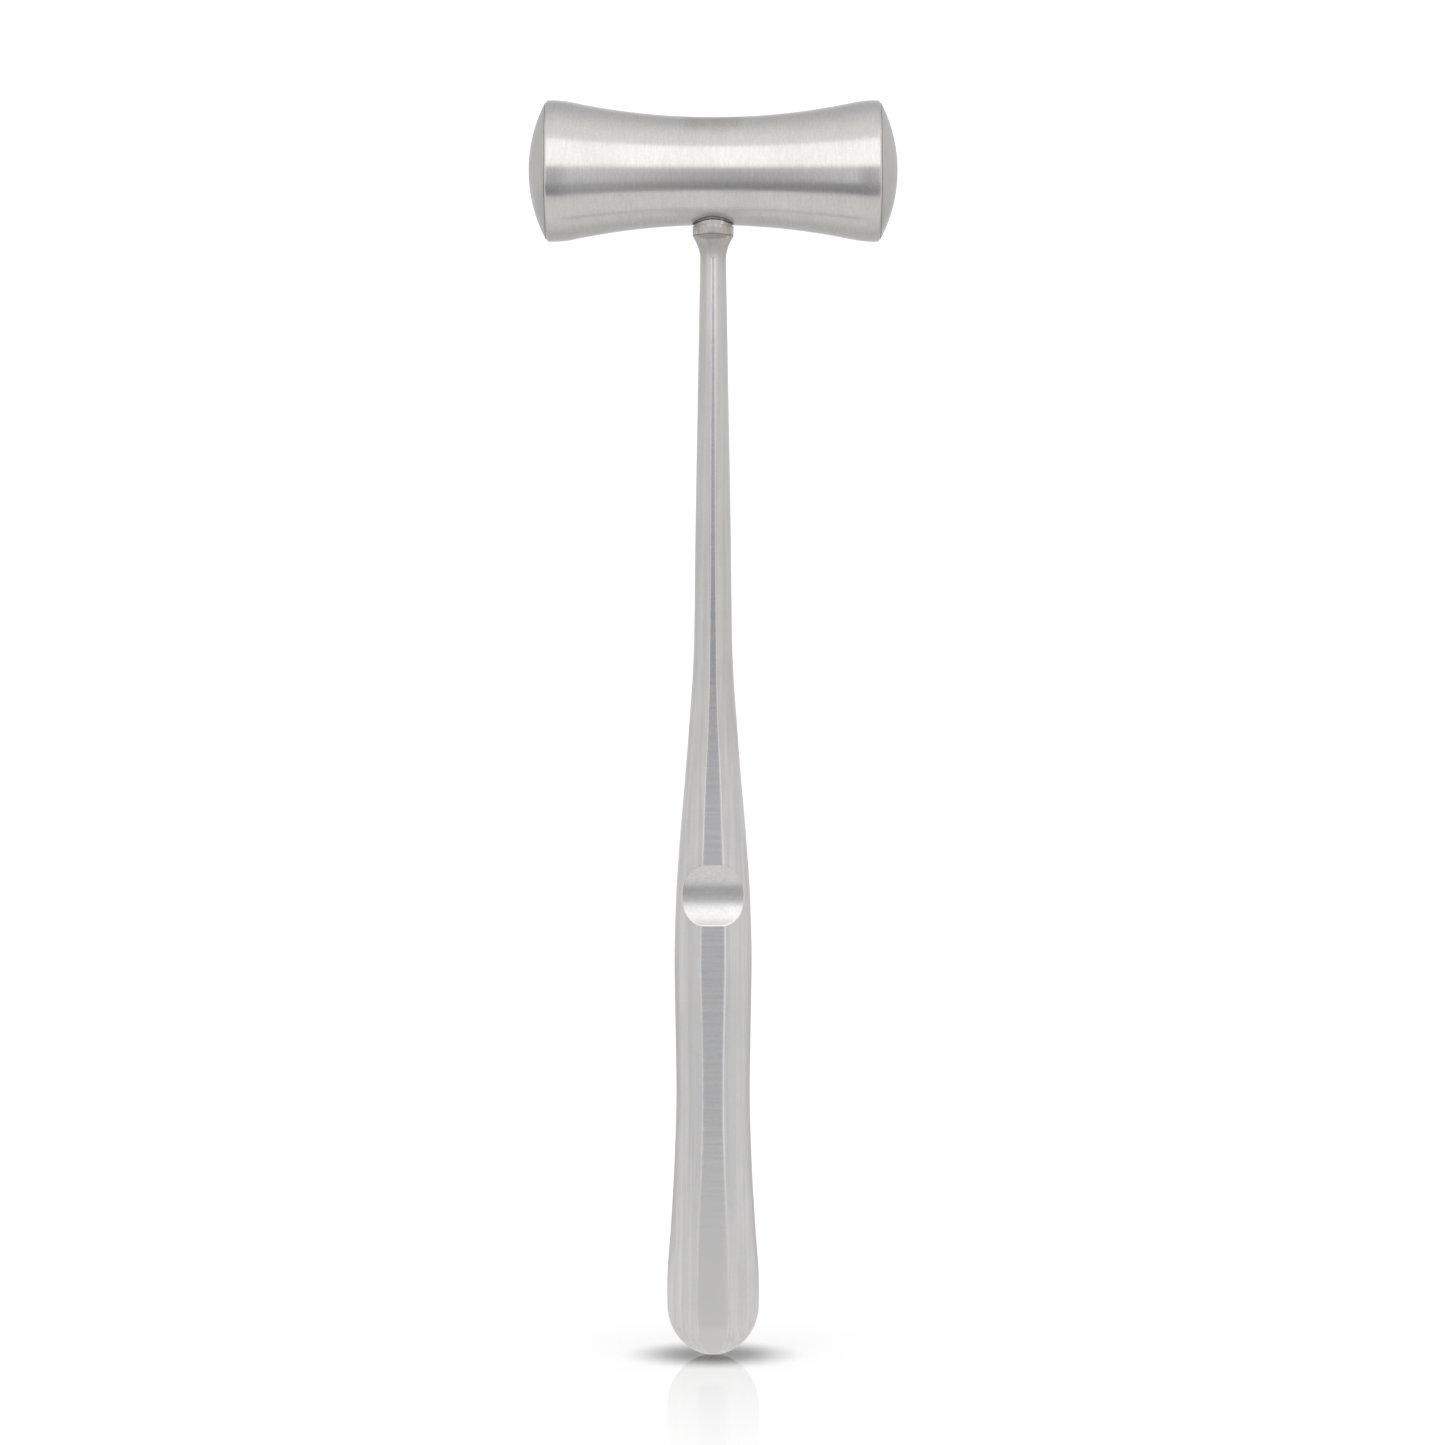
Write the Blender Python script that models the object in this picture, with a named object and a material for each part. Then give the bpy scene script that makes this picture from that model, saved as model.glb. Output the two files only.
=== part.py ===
"""A surgical bone mallet: a weighted steel head with two screwed-in domed faces, on a forged
handle whose tenon runs up through a collar and the head into a flush nut.

+Z runs up the handle from the butt, the head lies along X, and the grip's front faces -Y.
Lengths below are in millimetres and angles in degrees.
"""

import math

import bmesh
import bpy

MM = 0.001
SEAT_GAP = 0.3  # between pieces that touch on the real object
CUT_BEYOND = 1.0  # how far a cutter stands out of what it cuts
ENDS = ((-1, "left"), (1, "right"))

# Every thread: its ridge's half-widths as shares of the pitch, and the play round it
THREAD_FOOT = 0.27
THREAD_CREST = 0.06
THREAD_SINK = 0.25  # how far the ridge's foot stands inside its core
THREAD_GAP = 0.22
FLANK_GAP = 0.15

# Head body, turned about the head's own axis. Axial places are measured from its middle.
HEAD_Z = 226.55  # height of the head's axis above the butt
WAIST_R = 10.27
WAIST_ARC_R = 131.6
LIP_START = 27.0
LIP_R = 13.45
LIP_CREST = 31.0
BODY_END = 31.9
RIM_CHAMFER = 0.42
LIP_PLACES = (30.0, 28.5)
WAIST_PLACES = (22.5, 17.5, 12.0, 6.0)
HEAD_SIDES = 40

# Socket in each end of the head, and what fills it
WEB_HALF = 8.0
SPIGOT_R = 7.1
SPIGOT_CREST_R = 8.0
SPIGOT_PITCH = 1.5
SPIGOT_TURNS = 2.5
SPIGOT_END = 24.6
SPIGOT_THREAD_START = 25.0
SPIGOT_CHAMFER = 0.35
SOCKET_SIDES = 20
GASKET_SEAT = 31.2
GASKET_SEAT_R = 10.4
GASKET_THICK = 0.5
GASKET_FLOAT = 0.2  # under the gasket
GASKET_SIDES = 28
SLUG_CHAMFER = 0.5

# Domed face
CAP_UNDERSIDE = 32.15
CAP_R = 12.98
CAP_LAND = 0.15
CAP_EDGE = 0.05
CAP_APEX = 35.3
DOME_STEPS = 6

# Lock pin of each face
PIN_R = 0.6
PIN_AXIAL = 30.3
PIN_BELOW_FRONT = 17.0
PIN_DEPTH = 7.4
PIN_SIDES = 10
PIN_CLEARANCE = 0.15
PIN_SUNK = 0.06  # its end below the head's surface
PIN_TOP_CHAMFER = 0.1
PIN_TIP_CHAMFER = 0.2

# Handle sections from the butt up: height, width, half-thickness at the flats, width of the flats
HANDLE_STATIONS = (
    (0.0, 17.30, 4.40, 5.60),
    (13.5, 17.55, 4.40, 5.20),
    (25.0, 16.10, 4.40, 4.40),
    (37.5, 14.72, 4.40, 3.75),
    (50.0, 14.04, 4.40, 3.40),
    (62.0, 14.36, 4.40, 3.75),
    (75.5, 14.76, 4.40, 4.35),
    (87.0, 14.23, 4.37, 4.10),
    (98.5, 12.76, 4.26, 3.50),
    (110.0, 10.79, 4.08, 2.75),
    (121.5, 9.03, 3.85, 1.70),
    (130.0, 7.85, 3.68, 1.25),
    (137.0, 7.28, 3.55, 1.10),
    (156.0, 6.83, 3.36, 0.76),
    (183.0, 5.90, 2.93, 0.66),
    (210.0, 4.92, 2.45, 0.55),
)
BUTT_ROUND_WIDE = 9.6  # height over which the butt rounds off, seen from the front
BUTT_ROUND_THICK = 6.0  # and seen from the side
BUTT_STEPS = 6
GRIP_STEP = 8.0
HANDLE_SIDES = 28

# Thumb scoop, cut front and back by a cylinder across the handle
SCOOP_Z = 88.1
SCOOP_R = 9.86
SCOOP_DEPTH = 1.85
SCOOP_SIDES = 72

# Neck: flare, collar and through tenon
FLARE_START = 209.6
FLARE_END = 213.85
NECK_R = 2.46
FLARE_R = 3.9
FLARE_STEPS = 5
COLLAR_BOTTOM = 214.15
COLLAR_TOP = 215.95
COLLAR_R = 3.97
COLLAR_TOP_R = 3.88
COLLAR_CHAMFER = 0.14
TENON_R = 2.6
TENON_TOP = 235.3
TENON_CHAMFER = 0.3
TENON_SHOULDER = 230.4

# Flush nut in the top of the head, on the end of the tenon
NUT_R = 5.45
NUT_SEAT = 230.45
NUT_ROOT_R = 2.05
NUT_CREST_R = 2.5
NUT_PITCH = 0.8
NUT_TURNS = 5
NUT_THREAD_START = 230.95
NUT_HOLE_TOP = 235.6
NUT_SIDES = 32
TENON_SIDES = 12

STEEL = (0.62, 0.61, 0.60, 1.0)
DARK_STEEL = (0.42, 0.41, 0.40, 1.0)
LEAD = (0.19, 0.20, 0.22, 1.0)
PACKING = (0.78, 0.77, 0.73, 1.0)


def clear_scene():
    for obj in list(bpy.data.objects):
        bpy.data.objects.remove(obj, do_unlink=True)


def material(name, colour, roughness, metallic=1.0):
    made = bpy.data.materials.new(name)
    made.use_nodes = True
    shader = made.node_tree.nodes["Principled BSDF"]
    shader.inputs["Base Color"].default_value = colour
    shader.inputs["Roughness"].default_value = roughness
    shader.inputs["Metallic"].default_value = metallic
    return made


def empty(name, parent=None, height=0.0):
    made = bpy.data.objects.new(name, None)
    bpy.context.collection.objects.link(made)
    made.parent = parent
    made.location.z = height * MM
    return made


def skinned(name, rings, parent, look=None, loop=False):
    """An object whose mesh joins each ring of points to the next. A ring of one point closes an
    end, and loop joins the last ring to the first. With no look it is a hidden cutter."""
    shape = bmesh.new()
    rows = [[shape.verts.new([value * MM for value in point]) for point in ring] for ring in rings]
    pairs = zip(rows, rows[1:] + rows[:1]) if loop else zip(rows, rows[1:])
    for lower, upper in pairs:
        count = max(len(lower), len(upper))
        for i in range(count):
            j = (i + 1) % count
            corners = (
                lower[i % len(lower)],
                lower[j % len(lower)],
                upper[j % len(upper)],
                upper[i % len(upper)],
            )
            shape.faces.new(dict.fromkeys(corners))
    bmesh.ops.recalc_face_normals(shape, faces=shape.faces)
    mesh = bpy.data.meshes.new(name)
    shape.to_mesh(mesh)
    shape.free()
    mesh.shade_smooth()
    mesh.set_sharp_from_angle(angle=math.radians(35))
    made = bpy.data.objects.new(name, mesh)
    bpy.context.collection.objects.link(made)
    made.parent = parent
    if look:
        mesh.materials.append(look)
    else:
        made.hide_render = True
        made.display_type = "WIRE"
    return made


def circle(radius, height, sides):
    """The points of one ring about the Z axis, or its single point on the axis."""
    if radius == 0:
        return [(0.0, 0.0, height)]
    turns = [2 * math.pi * (i + 0.5) / sides - math.pi / 2 for i in range(sides)]
    return [(radius * math.cos(turn), radius * math.sin(turn), height) for turn in turns]


def turned(name, profile, sides, parent, look=None, loop=False):
    """A body turned about its own Z axis from (radius, height) points."""
    rings = [circle(radius, height, sides) for radius, height in profile]
    return skinned(name, rings, parent, look, loop)


def thread_ridge(name, root, crest, pitch, turns, start, sides, parent, cuts=False):
    """A helical thread ridge to unite with a spigot or, for the nut or socket that it screws
    into, a cutter that is larger all round. It runs out over a quarter turn at each end."""
    play, flank = (THREAD_GAP, FLANK_GAP) if cuts else (0.0, 0.0)
    foot = root + play - THREAD_SINK
    foot_half = THREAD_FOOT * pitch + flank
    crest_half = THREAD_CREST * pitch + flank
    steps = int(turns * sides)
    rings = []
    for step in range(steps + 1):
        run_out = min(1.0, 4 * step / sides, 4 * (steps - step) / sides)
        outer = root + play + (crest - root) * max(0.1, run_out)
        turn = 2 * math.pi * step / sides
        middle = start + pitch * step / sides
        across = ((foot, -foot_half), (outer, -crest_half), (outer, crest_half), (foot, foot_half))
        rings.append([(r * math.cos(turn), r * math.sin(turn), middle + z) for r, z in across])
    ends = [[tuple(sum(point[k] for point in ring) / 4 for k in range(3))]
            for ring in (rings[0], rings[-1])]
    return skinned(name, [ends[0], *rings, ends[1]], parent)


def boolean(target, tool, operation):
    modifier = target.modifiers.new(f"{operation.lower()} {tool.name}", "BOOLEAN")
    modifier.operation = operation
    modifier.solver = "EXACT"
    modifier.object = tool


def cut_all(target, cutters):
    """Cuts every one of the cutters from the target in a single exact step."""
    group = bpy.data.collections.new(f"{target.name}_cutters")
    bpy.context.scene.collection.children.link(group)
    for cutter in cutters:
        group.objects.link(cutter)
    modifier = target.modifiers.new("cuts", "BOOLEAN")
    modifier.operation = "DIFFERENCE"
    modifier.solver = "EXACT"
    modifier.operand_type = "COLLECTION"
    modifier.collection = group


def waist_radius(axial):
    """The head's outer radius: a long concave arc that turns over into a convex lip."""
    axial = abs(axial)
    if axial <= LIP_START:
        return WAIST_R + WAIST_ARC_R - math.sqrt(WAIST_ARC_R**2 - axial**2)
    rise = LIP_R - waist_radius(LIP_START)
    return LIP_R - rise * ((LIP_CREST - axial) / (LIP_CREST - LIP_START)) ** 2


def head_envelope_profile():
    """The outline of the head body before anything is cut from it."""
    chamfer_start = BODY_END - RIM_CHAMFER
    places = [chamfer_start, *LIP_PLACES, LIP_START, *WAIST_PLACES]
    half = [(0, BODY_END), (waist_radius(chamfer_start) - RIM_CHAMFER, BODY_END)]
    half += [(waist_radius(place), place) for place in places]
    lower = [(radius, -place) for radius, place in reversed(half)]
    return half + [(WAIST_R, 0)] + lower


def along_head(obj, side):
    """Turns a body made about Z so that its +Z points out of the head's right or left end."""
    obj.rotation_euler.y = side * math.pi / 2
    return obj


def socket_cutters(head, side, label):
    """The cutters of one face's threaded socket, with the seat of its gasket."""
    bore_r = SPIGOT_R + THREAD_GAP
    profile = (
        (0, BODY_END + CUT_BEYOND),
        (GASKET_SEAT_R, BODY_END + CUT_BEYOND),
        (GASKET_SEAT_R, GASKET_SEAT),
        (bore_r, GASKET_SEAT),
        (bore_r, WEB_HALF),
        (0, WEB_HALF),
    )
    bore = turned(f"socket_cutter_{label}", profile, SOCKET_SIDES, head)
    ridge = thread_ridge(f"socket_thread_cutter_{label}", SPIGOT_R, SPIGOT_CREST_R, SPIGOT_PITCH,
                         SPIGOT_TURNS, SPIGOT_THREAD_START, SOCKET_SIDES, head, cuts=True)
    return [along_head(bore, side), along_head(ridge, side)]


def pin_cutter(head, side, label):
    """The hole for one lock pin, which runs through the head's wall into the face's spigot."""
    radius = PIN_R + PIN_CLEARANCE
    top, bottom = LIP_R + CUT_BEYOND, LIP_R - PIN_DEPTH - SEAT_GAP
    profile = ((0, top), (radius, top), (radius, bottom), (0, bottom))
    made = turned(f"lock_pin_cutter_{label}", profile, PIN_SIDES, head)
    return place_pin(made, side)


def place_pin(obj, side):
    obj.location.x = side * PIN_AXIAL * MM
    obj.rotation_euler.x = math.radians(90 + PIN_BELOW_FRONT)
    return obj


def upright_cutter(name, radius, low, high, sides, head):
    """A plain vertical cylinder between two heights above the butt."""
    profile = ((0, high), (radius, high), (radius, low), (0, low))
    made = turned(name, profile, sides, head)
    made.location.z = -HEAD_Z * MM
    return made


def make_head_body(head, steel, pin_holes):
    body = turned("head_body", head_envelope_profile(), HEAD_SIDES, head, steel)
    along_head(body, 1)
    # Name, radius, lowest and highest point, and sides of each upright cut
    cuts = (
        ("tenon_bore_cutter", TENON_R + SEAT_GAP, COLLAR_BOTTOM, TENON_SHOULDER + CUT_BEYOND, TENON_SIDES),
        ("nut_seat_cutter", NUT_R + SEAT_GAP, NUT_SEAT, HEAD_Z + LIP_R, NUT_SIDES),
    )
    cutters = [upright_cutter(*cut, head) for cut in cuts]
    for side, label in ENDS:
        cutters += [pin_holes[side], *socket_cutters(head, side, label)]
    cut_all(body, cutters)


def make_face_cap(head, steel, side, label, pin_hole):
    """A domed striking face, with the threaded spigot that screws into the head."""
    sag = CAP_APEX - CAP_UNDERSIDE - CAP_LAND
    dome_r = (CAP_R**2 + sag**2) / (2 * sag)
    profile = [(0, CAP_APEX)]
    for step in range(1, DOME_STEPS + 1):
        angle = math.asin(CAP_R / dome_r) * step / DOME_STEPS
        profile.append((dome_r * math.sin(angle), CAP_APEX - dome_r * (1 - math.cos(angle))))
    profile += [
        (CAP_R, CAP_UNDERSIDE + CAP_EDGE),
        (CAP_R - CAP_EDGE, CAP_UNDERSIDE),
        (SPIGOT_R, CAP_UNDERSIDE),
        (SPIGOT_R, SPIGOT_END + SPIGOT_CHAMFER),
        (SPIGOT_R - SPIGOT_CHAMFER, SPIGOT_END),
        (0, SPIGOT_END),
    ]
    cap = along_head(turned(f"face_cap_{label}", profile, HEAD_SIDES, head, steel), side)
    ridge = thread_ridge(f"spigot_thread_{label}", SPIGOT_R, SPIGOT_CREST_R, SPIGOT_PITCH,
                         SPIGOT_TURNS, SPIGOT_THREAD_START, SOCKET_SIDES, head)
    boolean(cap, along_head(ridge, side), "UNION")
    boolean(cap, pin_hole, "DIFFERENCE")


def make_gasket(head, packing, side, label):
    """The flat ring in the seat under one face, which keeps steam out of the filled socket."""
    low = GASKET_SEAT + GASKET_FLOAT
    inner, outer = SPIGOT_R + SEAT_GAP, GASKET_SEAT_R - SEAT_GAP
    profile = ((inner, low), (inner, low + GASKET_THICK), (outer, low + GASKET_THICK), (outer, low))
    ring = turned(f"cap_gasket_{label}", profile, GASKET_SIDES, head, packing, loop=True)
    along_head(ring, side)


def make_ballast_slug(head, lead, side, label):
    """The lead cylinder that fills one socket between the web and the spigot."""
    radius = SPIGOT_R + THREAD_GAP - SEAT_GAP
    inner, outer = WEB_HALF + SEAT_GAP, SPIGOT_END - SEAT_GAP
    profile = (
        (0, outer),
        (radius - SLUG_CHAMFER, outer),
        (radius, outer - SLUG_CHAMFER),
        (radius, inner + SLUG_CHAMFER),
        (radius - SLUG_CHAMFER, inner),
        (0, inner),
    )
    along_head(turned(f"ballast_slug_{label}", profile, SOCKET_SIDES, head, lead), side)


def make_lock_pin(head, steel, side, label):
    """A small dowel that stops one face unscrewing, ground off just below the surface."""
    top = waist_radius(PIN_AXIAL) - PIN_SUNK
    bottom = LIP_R - PIN_DEPTH
    profile = (
        (0, top),
        (PIN_R - PIN_TOP_CHAMFER, top),
        (PIN_R, top - PIN_TOP_CHAMFER),
        (PIN_R, bottom + PIN_TIP_CHAMFER),
        (PIN_R - PIN_TIP_CHAMFER, bottom),
        (0, bottom),
    )
    place_pin(turned(f"cap_lock_pin_{label}", profile, PIN_SIDES, head, steel), side)


def smooth(table, height, column):
    """A smooth curve through one column of the station table, with no overshoot."""
    knots = [(row[0], row[column]) for row in table]
    slopes = [(b[1] - a[1]) / (b[0] - a[0]) for a, b in zip(knots, knots[1:])]
    middles = [2 * p * q / (p + q) if p * q > 0 else 0.0 for p, q in zip(slopes, slopes[1:])]
    tangents = [slopes[0], *middles, slopes[-1]]
    for i, ((low, start), (high, end)) in enumerate(zip(knots, knots[1:])):
        if height <= high or i == len(slopes) - 1:
            span = high - low
            t = (height - low) / span
            return (
                start * (1 + 2 * t) * (1 - t) ** 2
                + end * t * t * (3 - 2 * t)
                + span * t * (1 - t) ** 2 * tangents[i]
                - span * t * t * (1 - t) * tangents[i + 1]
            )


def rounding(height, reach):
    """How much of its full size the butt has kept at a height: a quarter of an ellipse."""
    rest = max(0.0, 1 - height / reach)
    return math.sqrt(1 - rest**2)


def handle_section(height):
    """One ring of the handle: an ellipse whose front and back are cut off flat."""
    width = smooth(HANDLE_STATIONS, height, 1) * rounding(height, BUTT_ROUND_WIDE)
    flat_at = smooth(HANDLE_STATIONS, height, 2) * rounding(height, BUTT_ROUND_THICK)
    flat_wide = smooth(HANDLE_STATIONS, height, 3) * rounding(height, BUTT_ROUND_WIDE)
    corner = math.asin(flat_wide / width)
    half_thick = flat_at / math.cos(corner)
    per_side = HANDLE_SIDES // 2
    angles = [corner + (math.pi - 2 * corner) * i / (per_side - 1) for i in range(per_side)]
    right = [(width / 2 * math.sin(a), -half_thick * math.cos(a), height) for a in angles]
    left = [(-x, -y, height) for x, y, height in right]
    return right + left


def handle_rings():
    rings = [[(0.0, 0.0, 0.0)]]
    for step in range(1, BUTT_STEPS + 1):
        angle = math.pi / 2 * step / BUTT_STEPS
        rings.append(handle_section(BUTT_ROUND_WIDE * (1 - math.cos(angle))))
    count = round((FLARE_START - BUTT_ROUND_WIDE) / GRIP_STEP)
    for step in range(1, count + 1):
        rings.append(handle_section(BUTT_ROUND_WIDE + (FLARE_START - BUTT_ROUND_WIDE) * step / count))
    for step in range(1, FLARE_STEPS + 1):
        share = step / FLARE_STEPS
        radius = NECK_R + (FLARE_R - NECK_R) * share**2
        rings.append(circle(radius, FLARE_START + (FLARE_END - FLARE_START) * share, HANDLE_SIDES))
    tenon = (
        (TENON_R, FLARE_END),
        (TENON_R, TENON_SHOULDER),
        (NUT_ROOT_R, TENON_SHOULDER),
        (NUT_ROOT_R, TENON_TOP - TENON_CHAMFER),
        (NUT_ROOT_R - TENON_CHAMFER, TENON_TOP),
        (0, TENON_TOP),
    )
    return rings + [circle(radius, height, HANDLE_SIDES) for radius, height in tenon]


def make_handle(root, steel):
    """Grip, shaft, flare and tenon, forged and ground in one piece."""
    handle = skinned("handle", handle_rings(), root, steel)
    ridge = thread_ridge("tenon_thread", NUT_ROOT_R, NUT_CREST_R, NUT_PITCH, NUT_TURNS,
                         NUT_THREAD_START, TENON_SIDES, root)
    boolean(handle, ridge, "UNION")
    flat_at = smooth(HANDLE_STATIONS, SCOOP_Z, 2)
    profile = ((0, SCOOP_R), (SCOOP_R, SCOOP_R), (SCOOP_R, -SCOOP_R), (0, -SCOOP_R))
    for side, label in ((-1, "front"), (1, "back")):
        cutter = turned(f"scoop_cutter_{label}", profile, SCOOP_SIDES, root)
        cutter.rotation_euler.y = math.pi / 2
        cutter.location = (0, side * (flat_at - SCOOP_DEPTH + SCOOP_R) * MM, SCOOP_Z * MM)
        boolean(handle, cutter, "DIFFERENCE")


def make_neck_collar(root, steel):
    """The turned ring on the tenon between the flare and the head's underside."""
    bore = TENON_R + SEAT_GAP
    profile = (
        (bore, COLLAR_TOP),
        (COLLAR_TOP_R - COLLAR_CHAMFER, COLLAR_TOP),
        (COLLAR_TOP_R, COLLAR_TOP - COLLAR_CHAMFER),
        (COLLAR_R, (COLLAR_TOP + COLLAR_BOTTOM) / 2),
        (FLARE_R, COLLAR_BOTTOM),
        (bore, COLLAR_BOTTOM),
    )
    turned("neck_collar", profile, NUT_SIDES, root, steel, loop=True)


def make_crown_nut(head, steel):
    """The nut on the tenon, in the top of the head and ground flush with its waist."""
    low, high = NUT_SEAT + SEAT_GAP, HEAD_Z + LIP_R
    profile = ((0, high), (NUT_R, high), (NUT_R, low), (0, low))
    nut = turned("crown_nut", profile, NUT_SIDES, head, steel)
    nut.location.z = -HEAD_Z * MM
    envelope = turned("head_envelope", head_envelope_profile(), HEAD_SIDES, head)
    boolean(nut, along_head(envelope, 1), "INTERSECT")
    hole = upright_cutter("nut_hole_cutter", NUT_ROOT_R + THREAD_GAP, low - CUT_BEYOND,
                          NUT_HOLE_TOP, TENON_SIDES, head)
    ridge = thread_ridge("nut_thread_cutter", NUT_ROOT_R, NUT_CREST_R, NUT_PITCH, NUT_TURNS,
                         NUT_THREAD_START, TENON_SIDES, head, cuts=True)
    ridge.location.z = -HEAD_Z * MM
    cut_all(nut, [hole, ridge])


def main():
    clear_scene()
    head_steel = material("head_steel", STEEL, 0.28)
    face_steel = material("face_steel", STEEL, 0.34)
    handle_steel = material("handle_steel", STEEL, 0.36)
    collar_steel = material("collar_steel", DARK_STEEL, 0.45)
    lead = material("lead", LEAD, 0.6)
    packing = material("packing", PACKING, 0.5, metallic=0.0)

    root = empty("mallet")
    head = empty("head_axis", root, HEAD_Z)
    pin_holes = {side: pin_cutter(head, side, label) for side, label in ENDS}
    make_head_body(head, head_steel, pin_holes)
    for side, label in ENDS:
        make_face_cap(head, face_steel, side, label, pin_holes[side])
        make_gasket(head, packing, side, label)
        make_ballast_slug(head, lead, side, label)
        make_lock_pin(head, face_steel, side, label)
    make_handle(root, handle_steel)
    make_neck_collar(root, collar_steel)
    make_crown_nut(head, head_steel)


main()
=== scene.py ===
"""Looks for the surgical mallet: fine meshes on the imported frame, brushed-steel finishes and a
soft studio. Lengths in the constants are millimetres in the frame's axes, angles are degrees.
"""

import math

import bpy
from mathutils import Matrix


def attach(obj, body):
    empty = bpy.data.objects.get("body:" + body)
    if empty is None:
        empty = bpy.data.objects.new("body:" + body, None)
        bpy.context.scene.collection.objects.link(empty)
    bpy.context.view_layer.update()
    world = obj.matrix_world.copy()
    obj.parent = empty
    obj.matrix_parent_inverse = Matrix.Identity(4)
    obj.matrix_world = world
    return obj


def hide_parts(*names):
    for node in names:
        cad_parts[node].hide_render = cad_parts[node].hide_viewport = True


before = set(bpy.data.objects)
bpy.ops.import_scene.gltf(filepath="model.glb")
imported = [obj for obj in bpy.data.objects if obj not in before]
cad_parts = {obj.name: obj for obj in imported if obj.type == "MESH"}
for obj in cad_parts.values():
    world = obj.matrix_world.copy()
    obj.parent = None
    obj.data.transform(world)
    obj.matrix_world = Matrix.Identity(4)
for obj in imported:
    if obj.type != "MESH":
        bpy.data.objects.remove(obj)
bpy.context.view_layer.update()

MM = 0.001
RING_PHASE = 0.37  # of a side, so that no seam lies on an axis
ENDS = ((-1, "left"), (1, "right"))

# Head body, turned about the head's axis at height HEAD_Z. Axial places count from its middle
HEAD_Z = 226.55
WAIST_R = 10.27
WAIST_ARC_R = 131.6
LIP_START = 27.0
LIP_R = 13.45
LIP_CREST = 31.0
BODY_END = 31.9
RIM_CHAMFER = 0.42
HEAD_SIDES = 224

# Socket, spigot and gasket seat in each end
WEB_HALF = 8.0
SPIGOT_R = 7.1
SPIGOT_CREST_R = 8.0
SPIGOT_PITCH = 1.5
SPIGOT_TURNS = 2.5
SPIGOT_END = 24.6
SPIGOT_THREAD_START = 25.0
SPIGOT_CHAMFER = 0.35
GASKET_SEAT = 31.2
GASKET_SEAT_R = 10.4
SOCKET_SIDES = 96

# Domed faces. Outside the gasket their underside comes down to close the seam
CAP_UNDERSIDE = 32.15
CAP_R = 12.98
CAP_RIM = 31.93
CAP_RIM_INNER_R = 10.6
CAP_LAND = 0.15
CAP_APEX = 35.3
CAP_EDGE_R = 0.1

# Lock pins
PIN_R = 0.6
PIN_AXIAL = 30.3
PIN_BELOW_FRONT = 17.0
PIN_DEPTH = 7.4
PIN_SUNK = 0.05
PIN_HOLE_R = 0.64

# Threads: half-widths of a ridge as shares of the pitch, and the play round it
THREAD_FOOT = 0.27
THREAD_CREST = 0.06
THREAD_GAP = 0.22
FLANK_GAP = 0.15

# Handle sections from the butt up: height, width, half-thickness at the flats, width of the flats
HANDLE_STATIONS = (
    (0.0, 17.30, 4.40, 6.10),
    (13.5, 17.55, 4.40, 5.75),
    (25.0, 16.10, 4.40, 5.20),
    (37.5, 14.72, 4.40, 4.20),
    (50.0, 14.04, 4.40, 3.82),
    (62.0, 14.36, 4.40, 4.08),
    (75.5, 14.76, 4.40, 4.62),
    (87.0, 14.23, 4.37, 4.35),
    (98.5, 12.76, 4.26, 3.56),
    (110.0, 10.79, 4.08, 2.75),
    (121.5, 9.03, 3.85, 1.70),
    (130.0, 7.85, 3.68, 1.25),
    (137.0, 7.28, 3.55, 1.10),
    (156.0, 6.83, 3.36, 0.76),
    (183.0, 5.90, 2.93, 0.66),
    (210.0, 4.92, 2.45, 0.55),
)
BUTT_ROUND_WIDE = 9.6  # height over which the butt rounds off, seen from the front
BUTT_ROUND_THICK = 6.0  # and seen from the side
SCOOP_Z = 88.1
SCOOP_R = 9.86
SCOOP_DEPTH = 1.85
SCOOP_RIM = 0.10  # how far the scoop's edge is rounded
SCOOP_NEAR = 7.5  # the rings are close together this far above and below its middle
CORNER_ROUND = 0.16  # how far the flats' corners are rounded, on top of a share of their width
BUTT_SOFT = 2.0  # how much more they are rounded at the very butt
BUTT_SOFT_TO = 40.0  # and the height at which that ends
ON_FLANK, ON_FLAT, ON_SCOOP = range(3)  # the handle's materials

# How the finish changes up the handle: heights between which each change takes place
BUTT_LINES = (14.0, 46.0)  # the flats' lines across fade in
# the flats come out darker towards the butt
BUTT_DARKER = (6.0, 45.0)
# the shaft comes out darker and warmer from the first height to the second
SHAFT_DARKER = (70.0, 150.0)
# and darker up the shaft
SHAFT_FLATS_DARKER = (93.9, 135.0)
SHAFT_LEANS = (128.0, 210.0)  # its shading leans downwards, more and more
NECK_WARM = (205.0, 212.0)
NECK_ROUGH = (208.0, 211.5)
NECK_DARK = (213.0, 213.35)  # the edge of the flare's dark band wanders

# How strongly the shading leans
SHAFT_LEAN = 0.085
COLLAR_LEAN = 0.085

# Neck: flare, collar and through tenon
FLARE_START = 209.6
FLARE_END = 214.11
NECK_R = 2.46
FLARE_R = 3.92
COLLAR_BOTTOM = 214.15
COLLAR_TOP = 215.95
COLLAR_R = 3.96
COLLAR_LAND_R = 3.74
COLLAR_FOOT_R = 3.90
TENON_R = 2.6
TENON_BORE_R = 2.9
TENON_SHOULDER = 230.4
TENON_TOP = 235.3
NUT_R = 5.45
NUT_SEAT_R = 5.475
NUT_SEAT = 230.45
NUT_UNDERSIDE = 230.75
NUT_ROOT_R = 2.05
NUT_CREST_R = 2.5
NUT_PITCH = 0.8
NUT_TURNS = 5
NUT_THREAD_START = 230.95
NUT_HOLE_TOP = 235.6

# Marks of work and handling on the head
SCUFF_R = (0.5, 1.0)  # how far from a pin's middle its scuffs fade
PATCH_HALF = (4.6, 6.4)  # how far from the middle the nut's warm patch fades
PATCH_RISE = (5.8, 8.6)  # and how high above the head's axis it begins

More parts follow.
